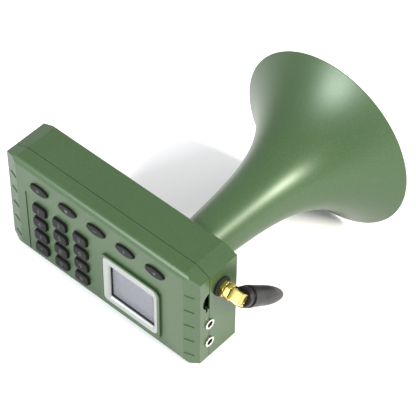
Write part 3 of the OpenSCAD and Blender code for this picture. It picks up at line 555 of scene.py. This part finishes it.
def horn_wall_line(count, inward, start=0.0):
    """A wall's profile line: x is the radius less the spin radius, y the distance along the horn."""
    first, last = (start, 0, 0), (1.0, 0, 0)
    if inward:  # the inner wall is drawn back from the mouth
        first, last = last, first
    line = add(horn, "GeometryNodeCurvePrimitiveLine", {"Start": first, "End": last})
    dense = add(horn, "GeometryNodeResampleCurve", {"Curve": line.outputs[0], "Count": count})
    share = add(horn, "ShaderNodeSeparateXYZ",
                {0: add(horn, "GeometryNodeInputPosition").outputs[0]}).outputs["X"]
    steep = calc(horn, "POWER", share, given["Power"])
    opening = calc(horn, "ADD", calc(horn, "MULTIPLY", share, given["Straight Share"]),
                   calc(horn, "MULTIPLY", steep, calc(horn, "SUBTRACT", 1.0, given["Straight Share"])))
    radius = calc(horn, "ADD", given["Neck Radius"], calc(horn, "MULTIPLY", opening, growth))
    if inward:
        radius = calc(horn, "SUBTRACT", radius, given["Wall"])
    along = calc(horn, "MULTIPLY", share, straight_end)
    place = add(horn, "ShaderNodeCombineXYZ", {"X": calc(horn, "SUBTRACT", radius, spin_radius),
                                               "Y": along})
    return add(horn, "GeometryNodeSetPosition",
               {"Geometry": dense.outputs[0], "Position": place.outputs[0]}).outputs[0]


def horn_straight(a, b):
    """A straight profile line between two (radius, distance) pairs of sockets or numbers."""
    ends = [add(horn, "ShaderNodeCombineXYZ",
                {"X": calc(horn, "SUBTRACT", r, spin_radius), "Y": d}).outputs[0] for r, d in (a, b)]
    return add(horn, "GeometryNodeCurvePrimitiveLine", {"Start": ends[0], "End": ends[1]}).outputs[0]


# %% Horn profile, spin and finish
funnel_share = 0.1  # the inner wall follows the rule down to here, then runs straight to its root
rim = add(horn, "GeometryNodeCurveArc", {"Resolution": rim_points, "Radius": rim_radius,
                                         "Start Angle": 0.0, "Sweep Angle": math.pi})
rim_place = add(horn, "ShaderNodeCombineXYZ", {
    "X": calc(horn, "SUBTRACT", calc(horn, "SUBTRACT", given["Mouth Radius"], rim_radius), spin_radius),
    "Y": straight_end})
rim_line = add(horn, "GeometryNodeTransform",
               {"Geometry": rim.outputs[0], "Translation": rim_place.outputs[0]}).outputs[0]
spigot_end = calc(horn, "MULTIPLY", given["Spigot Length"], -1.0)
funnel_grown = calc(horn, "MULTIPLY", growth, calc(horn, "MULTIPLY", given["Straight Share"], funnel_share))
funnel_mouth = calc(horn, "SUBTRACT", calc(horn, "ADD", given["Neck Radius"], funnel_grown), given["Wall"])
funnel_root = calc(horn, "SUBTRACT", given["Spigot Radius"], given["Wall"])
lines = [
    horn_wall_line(outer_points, inward=False),
    rim_line,
    horn_wall_line(inner_points, inward=True, start=funnel_share),
    horn_straight((funnel_mouth, calc(horn, "MULTIPLY", straight_end, funnel_share)), (funnel_root, 0.0)),
    horn_straight((funnel_root, 0.0), (given["Throat Radius"], spigot_end)),
    horn_straight((given["Throat Radius"], spigot_end), (given["Spigot Radius"], spigot_end)),
    horn_straight((given["Spigot Radius"], spigot_end), (given["Spigot Radius"], 0.0)),
    horn_straight((given["Spigot Radius"], 0.0), (given["Neck Radius"], 0.0)),
]
profile = add(horn, "GeometryNodeJoinGeometry")
for line in reversed(lines):
    horn.links.new(line, profile.inputs[0])
spin = add(horn, "GeometryNodeCurvePrimitiveCircle", {"Resolution": spin_points, "Radius": spin_radius})
walls = add(horn, "GeometryNodeCurveToMesh", {"Curve": spin.outputs[0],
                                              "Profile Curve": profile.outputs[0]})
end_tree(horn, walls.outputs[0], given["Material"])


def turn_to(origin, x_axis, y_axis):
    """Matrix that carries local X and Y onto two directions at a place."""
    x_axis, y_axis = Vector(x_axis).normalized(), Vector(y_axis).normalized()
    z_axis = x_axis.cross(y_axis)
    return Matrix((
        (x_axis.x, y_axis.x, z_axis.x, origin[0]),
        (x_axis.y, y_axis.y, z_axis.y, origin[1]),
        (x_axis.z, y_axis.z, z_axis.z, origin[2]),
        (0, 0, 0, 1)))


# The spun horn points down its own Z, so it is laid back along +Y.
horn_mesh = grow(horn, "horn", Material=finishes["green_plastic"])
horn_mesh.transform(turn_to(horn_axis, (1, 0, 0), (0, 0, 1)))
finish_mesh(opened(horn_mesh), "horn_turned", "green_plastic", "case", "horn_bell", "horn_neck", degrees=50)
print("horn", len(horn_mesh.polygons), "faces")

# %% [markdown]
# ## Keys
# Every key is one silicone moulding: a plunger that reaches the switch, a flange that stops it
# falling out, and a cap with a flat crown and a small radius round it. Twelve are rounded rectangles
# and five are ovals. A superellipse covers both: a power of 2 gives an oval and a higher power
# squares it up. The tree bends a flat grid round that outline and reads from three drawn curves, row
# by row, how wide the key is, how much of the flange it has and how far forward it is.

# %% Key tree
flange = 0.8 * MM
oval_power, rectangle_power = 2.0, 5.0
key, wanted = new_tree("key_by_outline", {
    "Width": 8.9 * MM, "Height": 6.4 * MM, "Power": rectangle_power, "Flange": flange,
    "Back": 1.0 * MM, "Front": 0.0, "Centre": (0.0, 0.0, 0.0)})

# Rows from the plunger's end to the middle of the crown: width as a share of the cap, share of the
# flange added, and depth as a share of the way from the plunger's end to the crown.
key_rows = [
    (0.00, 0.00, 0.00), (0.30, 0.00, 0.00), (0.30, 0.00, 0.44), (0.30, 0.00, 0.443), (1.00, 1.00, 0.443),
    (1.00, 1.00, 0.56), (1.00, 0.92, 0.565), (1.00, 0.05, 0.565), (1.00, 0.00, 0.57), (1.00, 0.00, 0.948),
    (0.995, 0.00, 0.962), (0.986, 0.00, 0.973), (0.972, 0.00, 0.982), (0.952, 0.00, 0.988),
    (0.925, 0.00, 0.991), (0.89, 0.00, 0.992), (0.55, 0.00, 0.994), (0.30, 0.00, 0.995),
    (0.00, 0.00, 0.995),
]
around = 64
flat = add(key, "GeometryNodeMeshGrid", {"Size X": 1.0, "Size Y": 1.0, "Vertices X": around + 1,
                                         "Vertices Y": len(key_rows)})
spot = add(key, "ShaderNodeSeparateXYZ", {0: add(key, "GeometryNodeInputPosition").outputs[0]}).outputs
angle = calc(key, "MULTIPLY", calc(key, "ADD", spot["X"], 0.5), 2 * math.pi)
row = calc(key, "ADD", spot["Y"], 0.5)


def superellipse(wave, half):
    """Half times the wave raised to two over the power, with the wave's own sign."""
    raised = calc(key, "POWER", calc(key, "ABSOLUTE", wave), calc(key, "DIVIDE", 2.0, wanted["Power"]))
    return calc(key, "MULTIPLY", calc(key, "MULTIPLY", raised, calc(key, "SIGN", wave)), half)


def drawn_curve(column):
    """A curve over the rows of the key, with straight runs between its points."""
    node = add(key, "ShaderNodeFloatCurve", {"Value": row})
    line = node.mapping.curves[0]
    last = len(key_rows) - 1
    line.points[0].location = (0.0, key_rows[0][column])
    line.points[1].location = (1.0, key_rows[-1][column])
    for i in range(1, last):
        line.points.new(i / last, key_rows[i][column])
    for point in line.points:
        point.handle_type = "VECTOR"
    node.mapping.update()
    return node.outputs[0]


def outline(cosine_or_sine, size):
    """One coordinate of the outline: the cap's own shape, plus the flange that stands out round it."""
    half = calc(key, "MULTIPLY", wanted[size], 0.5)
    cap = calc(key, "MULTIPLY", superellipse(cosine_or_sine, half), drawn_curve(0))
    rim = calc(key, "MULTIPLY", superellipse(cosine_or_sine, wanted["Flange"]), drawn_curve(1))
    return calc(key, "ADD", cap, rim)


depth = calc(key, "ADD", wanted["Back"],
             calc(key, "MULTIPLY", drawn_curve(2), calc(key, "SUBTRACT", wanted["Front"], wanted["Back"])))
spread = add(key, "ShaderNodeCombineXYZ", {
    "X": outline(calc(key, "COSINE", angle), "Width"), "Y": depth,
    "Z": outline(calc(key, "SINE", angle), "Height")})
bent = add(key, "GeometryNodeSetPosition", {"Geometry": flat.outputs[0], "Position": spread.outputs[0],
                                            "Offset": wanted["Centre"]})
end_tree(key, bent.outputs[0], wanted["Material"])
print("key tree,", len(key_rows), "rows of", around, "points")

# %% Grow the keys
key_names = [f"key_{i}" for i in range(1, 13)] + [f"function_key_{i}" for i in range(1, 6)]
key_centres = {}
for node in key_names:
    low, high = span(node)
    power = oval_power if node.startswith("function") else rectangle_power
    centre = (low + high) / 2
    key_centres[node] = Vector((centre.x, low.y, centre.z))
    mesh = grow(key, node, Width=high.x - low.x - 2 * flange, Height=high.z - low.z - 2 * flange,
                Power=power, Flange=flange, Back=high.y, Front=low.y, Centre=(centre.x, 0.0, centre.z),
                Material=finishes["key_rubber"])
    finish_mesh(opened(mesh), node + "_moulded", "key_rubber", node + "_body", node, degrees=50)
print(len(key_names), "keys,", len(mesh.polygons), "faces each")

# %% [markdown]
# ## Key legends
# The legends are pad-printed in grey ink: digits on the keypad and plain symbols on the ovals. Ink
# has almost no height, so each legend is a film 0.04 mm proud of the crown. Digits come from a text
# curve, which is made a mesh before it is turned to face the front and carried to its key. The
# symbols are small polygons.


# %% Key legends
def bar(left, bottom, right_side, top):
    """Outline of a rectangle, in millimetres."""
    return [(left, bottom), (right_side, bottom), (right_side, top), (left, top)]


film = 0.04 * MM
digit_height = 4.2 * MM
digits = dict(zip(key_names, "123456789*0#"))
thin, long = 0.45 / 2, 1.9 / 2  # half the width and half the length of a minus sign
symbols = {
    "function_key_1": [[(-0.9, -1.0), (1.1, 0.0), (-0.9, 1.0)]],  # a triangle that points right
    "function_key_2": [bar(-0.9, -0.9, 0.9, 0.9)],  # a square
    "function_key_3": [bar(-long, -thin, long, thin)],  # a minus
    "function_key_4": [bar(-long, -thin, long, thin), bar(-thin, thin, thin, long),
                       bar(-thin, -long, thin, -thin)],  # a plus
    "function_key_5": [[(1.1, -1.0), (1.1, 1.0), (-0.9, 0.0)]],  # a triangle that points left
}


def digit_mesh(text, height):
    """A digit as a thin solid in its own XY plane, centred on the origin."""
    curve = bpy.data.curves.new("digit", "FONT")
    curve.body = text
    curve.size = height
    curve.align_x = "CENTER"
    curve.align_y = "CENTER"
    curve.extrude = film / 2
    curve.resolution_u = 3
    carrier = bpy.data.objects.new("digit", curve)
    bpy.context.scene.collection.objects.link(carrier)
    evaluated = carrier.evaluated_get(bpy.context.evaluated_depsgraph_get())
    mesh = bpy.data.meshes.new_from_object(evaluated)
    bpy.data.objects.remove(carrier)
    return mesh


def symbol_mesh(outlines):
    """Flat outlines in millimetres, as thin solids in their own XY plane."""
    work = bmesh.new()
    for points in outlines:
        stack(work, [[Vector((x * MM, y * MM, z)) for x, y in points] for z in (-film / 2, film / 2)])
    mesh = bpy.data.meshes.new("symbol")
    bmesh.ops.recalc_face_normals(work, faces=work.faces)
    work.to_mesh(mesh)
    work.free()
    return mesh


for node in key_names:
    mesh = digit_mesh(digits[node], digit_height) if node in digits else symbol_mesh(symbols[node])
    centre = key_centres[node] + Vector((0, film / 2, 0))
    mesh.transform(Matrix.Translation(centre) @ Matrix.Rotation(math.pi / 2, 4, "X"))
    place_piece(mesh, node + "_legend", "legend_ink", node + "_body")
print("legends", len(key_names))

# %% [markdown]
# ## Bezel
# The bezel is one moulding in glossy silver-grey plastic, pressed into the raised surround. Its
# outer edge has a full radius, its face slopes in a little, and a chamfer leads down to the window.
# It is a stack of rounded rectangles: out along the side, over the edge, across the face, down the
# chamfer and back along the opening.


# %% Bezel
def rounded_rect_loop(x, z, width, height, radius, y, steps=8):
    """Points round a rounded rectangle that faces along Y."""
    points = []
    for k, (sx, sz) in enumerate(((1, 1), (-1, 1), (-1, -1), (1, -1))):
        for i in range(steps + 1):
            angle = math.pi / 2 * (k + i / steps)
            points.append(Vector((x + sx * (width / 2 - radius) + radius * math.cos(angle), y,
                                  z + sz * (height / 2 - radius) + radius * math.sin(angle))))
    return points


bezel_low, bezel_high = span("screen_bezel")
window_low, window_high = span("screen_window")
window_gap = 0.1 * MM
bezel_edge, bezel_corner, window_corner = 0.7 * MM, 3.0 * MM, 0.8 * MM
edge_steps = 5
# From the face to the window: (how far outside the opening, how far behind the bezel's front).
chamfer = [(0.9 * MM, 0.05 * MM), (0.75 * MM, 0.12 * MM), (0.1 * MM, 0.9 * MM), (0, 1.0 * MM)]


def bezel_outer(inset, y):
    """The bezel's outline, drawn in by inset."""
    return rounded_rect_loop((bezel_low.x + bezel_high.x) / 2, (bezel_low.z + bezel_high.z) / 2,
                             bezel_high.x - bezel_low.x - 2 * inset, bezel_high.z - bezel_low.z - 2 * inset,
                             bezel_corner - inset, y)


def bezel_inner(outset, y):
    """The opening's outline, let out by outset."""
    return rounded_rect_loop((window_low.x + window_high.x) / 2, (window_low.z + window_high.z) / 2,
                             window_high.x - window_low.x + 2 * (window_gap + outset),
                             window_high.z - window_low.z + 2 * (window_gap + outset),
                             window_corner + outset, y)


loops = [bezel_outer(0, bezel_high.y)]
for k in range(edge_steps + 1):
    turn = math.pi / 2 * k / edge_steps
    loops.append(bezel_outer(bezel_edge * (1 - math.cos(turn)),
                             bezel_low.y + bezel_edge * (1 - math.sin(turn))))
loops += [bezel_inner(outset, bezel_low.y + behind) for outset, behind in chamfer]
loops.append(bezel_inner(0, bezel_high.y))
work = bmesh.new()
stack(work, loops, closed=True)
finish_mesh(work, "screen_bezel_moulded", "silver_plastic", "case", "screen_bezel", degrees=40)
print("bezel", len(loops), "loops")

# %% [markdown]
# ## Jack rings and antenna seal
# These are plain turned parts, so each is a profile of radius and distance spun round its axis. The
# corners of the profile are rounded, because a turned edge is never perfectly sharp and it is the
# small radius that catches the light.

# %% Jack rings and antenna seal
# Profiles are (radius, distance out from the end wall) pairs in millimetres. Each ring has a flange
# that stands on the wall and a sleeve that goes 4 mm in.
ring_corner, seal_corner = 0.28, 0.45
ring_profile = rounded([(1.8, 0.9), (2.95, 0.9), (2.95, 0.0), (2.4, 0.0), (2.4, -4.0), (1.8, -4.0)],
                       ring_corner, closed=True)
seal_profile = rounded([(3.225, 1.6), (5.4, 1.6), (5.4, 0.0), (3.225, 0.0)], seal_corner, closed=True)

work = bmesh.new()
for node in ("jack_1", "jack_2"):
    low, high = span(node)
    centre = Vector((case_end_x, (low.y + high.y) / 2, (low.z + high.z) / 2))
    turned(work, centre, (1, 0, 0), ring_profile, count=64, closed=True)
finish_mesh(work, "jack_rings_turned", "brushed_nickel", "case", "jack_rings")

work = bmesh.new()
turned(work, socket_axis, (1, 0, 0), seal_profile, count=72, closed=True)
finish_mesh(work, "antenna_seal_moulded", "black_rubber", "case", "antenna_seal")
print("rings", len(ring_profile), "and seal", len(seal_profile), "points in profile")

# %% [markdown]
# ## Hexagon nuts
# Both nuts are 8 mm across the flats, cut from hexagon bar with a 30 degree chamfer turned on the
# ends. Each loop of the stack is the smaller of two radii at every angle: the hexagon's own, and a
# cone that opens away from the end face. Where the cone is smaller it bites off the corners in the
# curved arcs that every real nut has.


# %% Hexagon nuts
flats = 8.0 * MM
chamfer_steps, nut_points = 6, 96


def hexagon_radius(turn, limit):
    """Radius of a hexagon turned by so many degrees, cut off at limit, as a function of the angle."""
    def radius(angle):
        across = (angle - math.radians(turn)) % (math.pi / 3) - math.pi / 6
        return min(flats / 2 / math.cos(across), limit)
    return radius


def socket_loop(x, radius, count):
    """A loop round the antenna socket's axis."""
    return circle_loop((x, socket_axis.y, socket_axis.z), (1, 0, 0), radius, count)


def nut(name, node, body, turn, bore):
    """bore lists (radius, distance from the inner end) pairs in millimetres, from the outer end inwards."""
    low, high = span(node)
    length = high.x - low.x
    start_r = flats / 2 * 0.97  # the chamfer starts a little inside the flats
    corner_r = flats / 2 / math.cos(math.pi / 6)
    slope = math.tan(math.radians(30))
    rise = (corner_r - start_r) * slope
    depths = [rise * k / chamfer_steps for k in range(chamfer_steps + 1)]
    outer = [(d, start_r + d / slope) for d in depths]
    outer += [(length - d, r) for d, r in reversed(outer)]
    loops = [socket_loop(low.x + d, hexagon_radius(turn, limit), nut_points) for d, limit in outer]
    loops += [socket_loop(low.x + d * MM, r * MM, nut_points) for r, d in bore]
    work = bmesh.new()
    stack(work, loops, closed=True)
    finish_mesh(work, name, "gold_brass", body, node, degrees=18)


nut("socket_nut_milled", "antenna_socket_nut", "case", 15, [(3.35, 2.4), (3.225, 2.3), (3.225, 0.0)])
nut("antenna_nut_milled", "antenna_nut", "nut", -8,
    [(2.7, 2.9), (2.6, 2.8), (2.6, 2.6), (3.0, 2.6), (3.0, 2.1), (3.25, 2.1), (3.25, 0.1), (3.35, 0.0)])
print("nuts", flats / MM, "mm across the flats")

# %% [markdown]
# ## Elbow and its cap
# The right-angle elbow is a square brass block on a round neck, with a small cap pressed into its
# outer face. Going along the neck's axis every section is closed, so this is one stack again: round
# for the neck, square with softened corners for the block, and round for the recess under the cap.
# The block is turned 40 degrees, because the antenna leaves through one of its sides.

# %% Elbow and its cap
stub_angle = math.radians(40)
stub_direction = Vector((0, math.cos(stub_angle), -math.sin(stub_angle)))
elbow_low, elbow_high = span("antenna_elbow")
block_w = 6.5 * MM
elbow_mid_x = elbow_high.x - block_w / 2
neck_r, bore_r, recess_r, recess_depth = 2.3 * MM, 1.6 * MM, 2.4 * MM, 0.45 * MM
soft = 0.3 * MM  # radius along the block's edges
squareness = 22  # power of the superellipse that softens its corners
soft_steps, elbow_points = 4, 128


def square_radius(half):
    """Radius of a square with softened corners whose sides face along and across the stub."""
    def radius(angle):
        turn = angle - stub_angle
        powers = abs(math.cos(turn)) ** squareness + abs(math.sin(turn)) ** squareness
        return half / powers ** (1 / squareness)
    return radius


half = block_w / 2
block_x = elbow_high.x - block_w
sections = [(elbow_mid_x, bore_r), (elbow_low.x, bore_r), (elbow_low.x, neck_r), (block_x, neck_r),
            (block_x, square_radius(half - soft))]
for k in range(1, soft_steps + 1):
    a = math.pi / 2 * k / soft_steps
    sections.append((block_x + soft * (1 - math.cos(a)), square_radius(half - soft * (1 - math.sin(a)))))
for k in range(soft_steps + 1):
    a = math.pi / 2 * k / soft_steps
    sections.append((elbow_high.x - soft * (1 - math.sin(a)),
                     square_radius(half - soft * (1 - math.cos(a)))))
sections += [(elbow_high.x, recess_r), (elbow_high.x - recess_depth, recess_r)]
work = bmesh.new()
stack(work, [socket_loop(x, r, elbow_points) for x, r in sections])
finish_mesh(work, "antenna_elbow_milled", "gold_brass", "antenna", "antenna_elbow", degrees=30)

cap_x = span("antenna_elbow_cap")[0].x
work = bmesh.new()
turned(work, (cap_x, socket_axis.y, socket_axis.z), (1, 0, 0),
       [(0, 0), (2.35, 0), (2.35, 0.22), (2.3, 0.3), (2.1, 0.36), (1.2, 0.39), (0, 0.4)], count=64)
finish_mesh(work, "antenna_elbow_cap_pressed", "gold_brass", "antenna", "antenna_elbow_cap")
print("elbow", len(sections), "sections")

# %% [markdown]
# ## Antenna stub
# The stub is rubber moulded over the radiator: a collar against the elbow, a groove, then a body
# that swells, narrows and ends in a long rounded nose. It is turned about its own slanting axis.
# Where the collar comes near the nut it is relieved, so those points are pushed out to a clear
# distance from the nut's axis.

# %% Antenna stub
# The profile is (radius, distance from the elbow's middle) pairs in millimetres.
stub_origin = Vector((elbow_mid_x, socket_axis.y, socket_axis.z))
collar = rounded([(0, 3.25), (4.6, 3.25), (5.2, 3.85), (5.2, 6.4), (4.8, 6.4), (4.8, 8.2), (5.6, 8.2),
                  (5.52, 11.0), (5.1, 21.0)], 0.4, steps=5)
nose_start, nose_end, nose_r, nose_steps = 21.0, 43.0, 5.1, 24
nose = [(nose_r * math.cos(a), nose_start + (nose_end - nose_start) * math.sin(a))
        for a in (math.pi / 2 * k / nose_steps for k in range(1, nose_steps + 1))]
work = bmesh.new()
turned(work, stub_origin, stub_direction, collar + nose, count=96)
nut_clear = 4.92 * MM
relieved = 0
for vert in work.verts:
    if vert.co.x < block_x:
        offset = Vector((0, vert.co.y - socket_axis.y, vert.co.z - socket_axis.z))
        if offset.length < nut_clear:
            vert.co += offset.normalized() * (nut_clear - offset.length)
            relieved += 1
finish_mesh(work, "antenna_stub_moulded", "antenna_rubber", "antenna", "antenna_stub", degrees=45)
print("stub,", relieved, "points relieved")

# %% [markdown]
# ## Floor and light
# The caller stands on a plain white table in even white surroundings, as in a light tent. A softbox
# on the right gives the long streak down the neck of the horn and lights the socket end. A slightly
# weaker one at the front lights the keypad and the near edge. Neither hangs overhead, so the top of
# the case stays deep green.

# %% Floor and light
floor_mesh = bpy.data.meshes.new("floor")
work = bmesh.new()
floor_width, floor_corner, patch_mm = 6.0, 0.5, 400
stack(work, [rounded_rect_loop(0, 0, floor_width, floor_width, floor_corner, 0)], caps=False)
work.faces.new(work.verts)
work.to_mesh(floor_mesh)
work.free()
floor_mesh.transform(Matrix.Rotation(-math.pi / 2, 4, "X"))
table, tree, shader, place = new_material("white_table_matt", Roughness=0.75, IOR=1.45)
cloud = add(tree, "ShaderNodeTexNoise", {"Vector": place, "Scale": per_mm(patch_mm), "Detail": 2.0})
tone = add(tree, "ShaderNodeMix", {"Factor": cloud.outputs["Fac"], "A": linear("#f6f6f8"),
                                   "B": linear("#fafafb")}, data_type="RGBA")
connect(tree, shader, Base_Color=tone.outputs["Result"])
floor_mesh.materials.append(table)
floor = bpy.data.objects.new("floor", floor_mesh)
bpy.context.scene.collection.objects.link(floor)


def softbox(name, azimuth, elevation, distance, size, power, colour):
    """An area light aimed at the middle of the caller. Degrees, metres and watts; azimuth from +X to +Y."""
    aim = Vector((0, 30 * MM, 40 * MM))
    a, e = math.radians(azimuth), math.radians(elevation)
    direction = Vector((math.cos(e) * math.cos(a), math.cos(e) * math.sin(a), math.sin(e)))
    data = bpy.data.lights.new(name, "AREA")
    data.shape = "RECTANGLE"
    data.size, data.size_y = size
    data.energy = power
    data.color = linear(colour)[:3]
    light = bpy.data.objects.new(name, data)
    light.matrix_world = Matrix.Translation(aim + direction * distance) @ direction.to_track_quat(
        "Z", "Y").to_matrix().to_4x4()
    bpy.context.scene.collection.objects.link(light)


softbox("right_softbox", 10, 36, 1.3, (0.4, 0.3), 27, "#fffaf0")
softbox("front_softbox", -104, 28, 1.4, (0.5, 0.3), 21, "#f6f8ff")

world = bpy.data.worlds.new("white_surroundings")
world.use_nodes = True
background = world.node_tree.nodes["Background"].inputs
background["Color"].default_value = linear("#ffffff")
background["Strength"].default_value = 1.0
bpy.context.scene.world = world
bpy.context.scene.view_settings.view_transform = "Standard"
bpy.context.scene.view_settings.exposure = 0.0
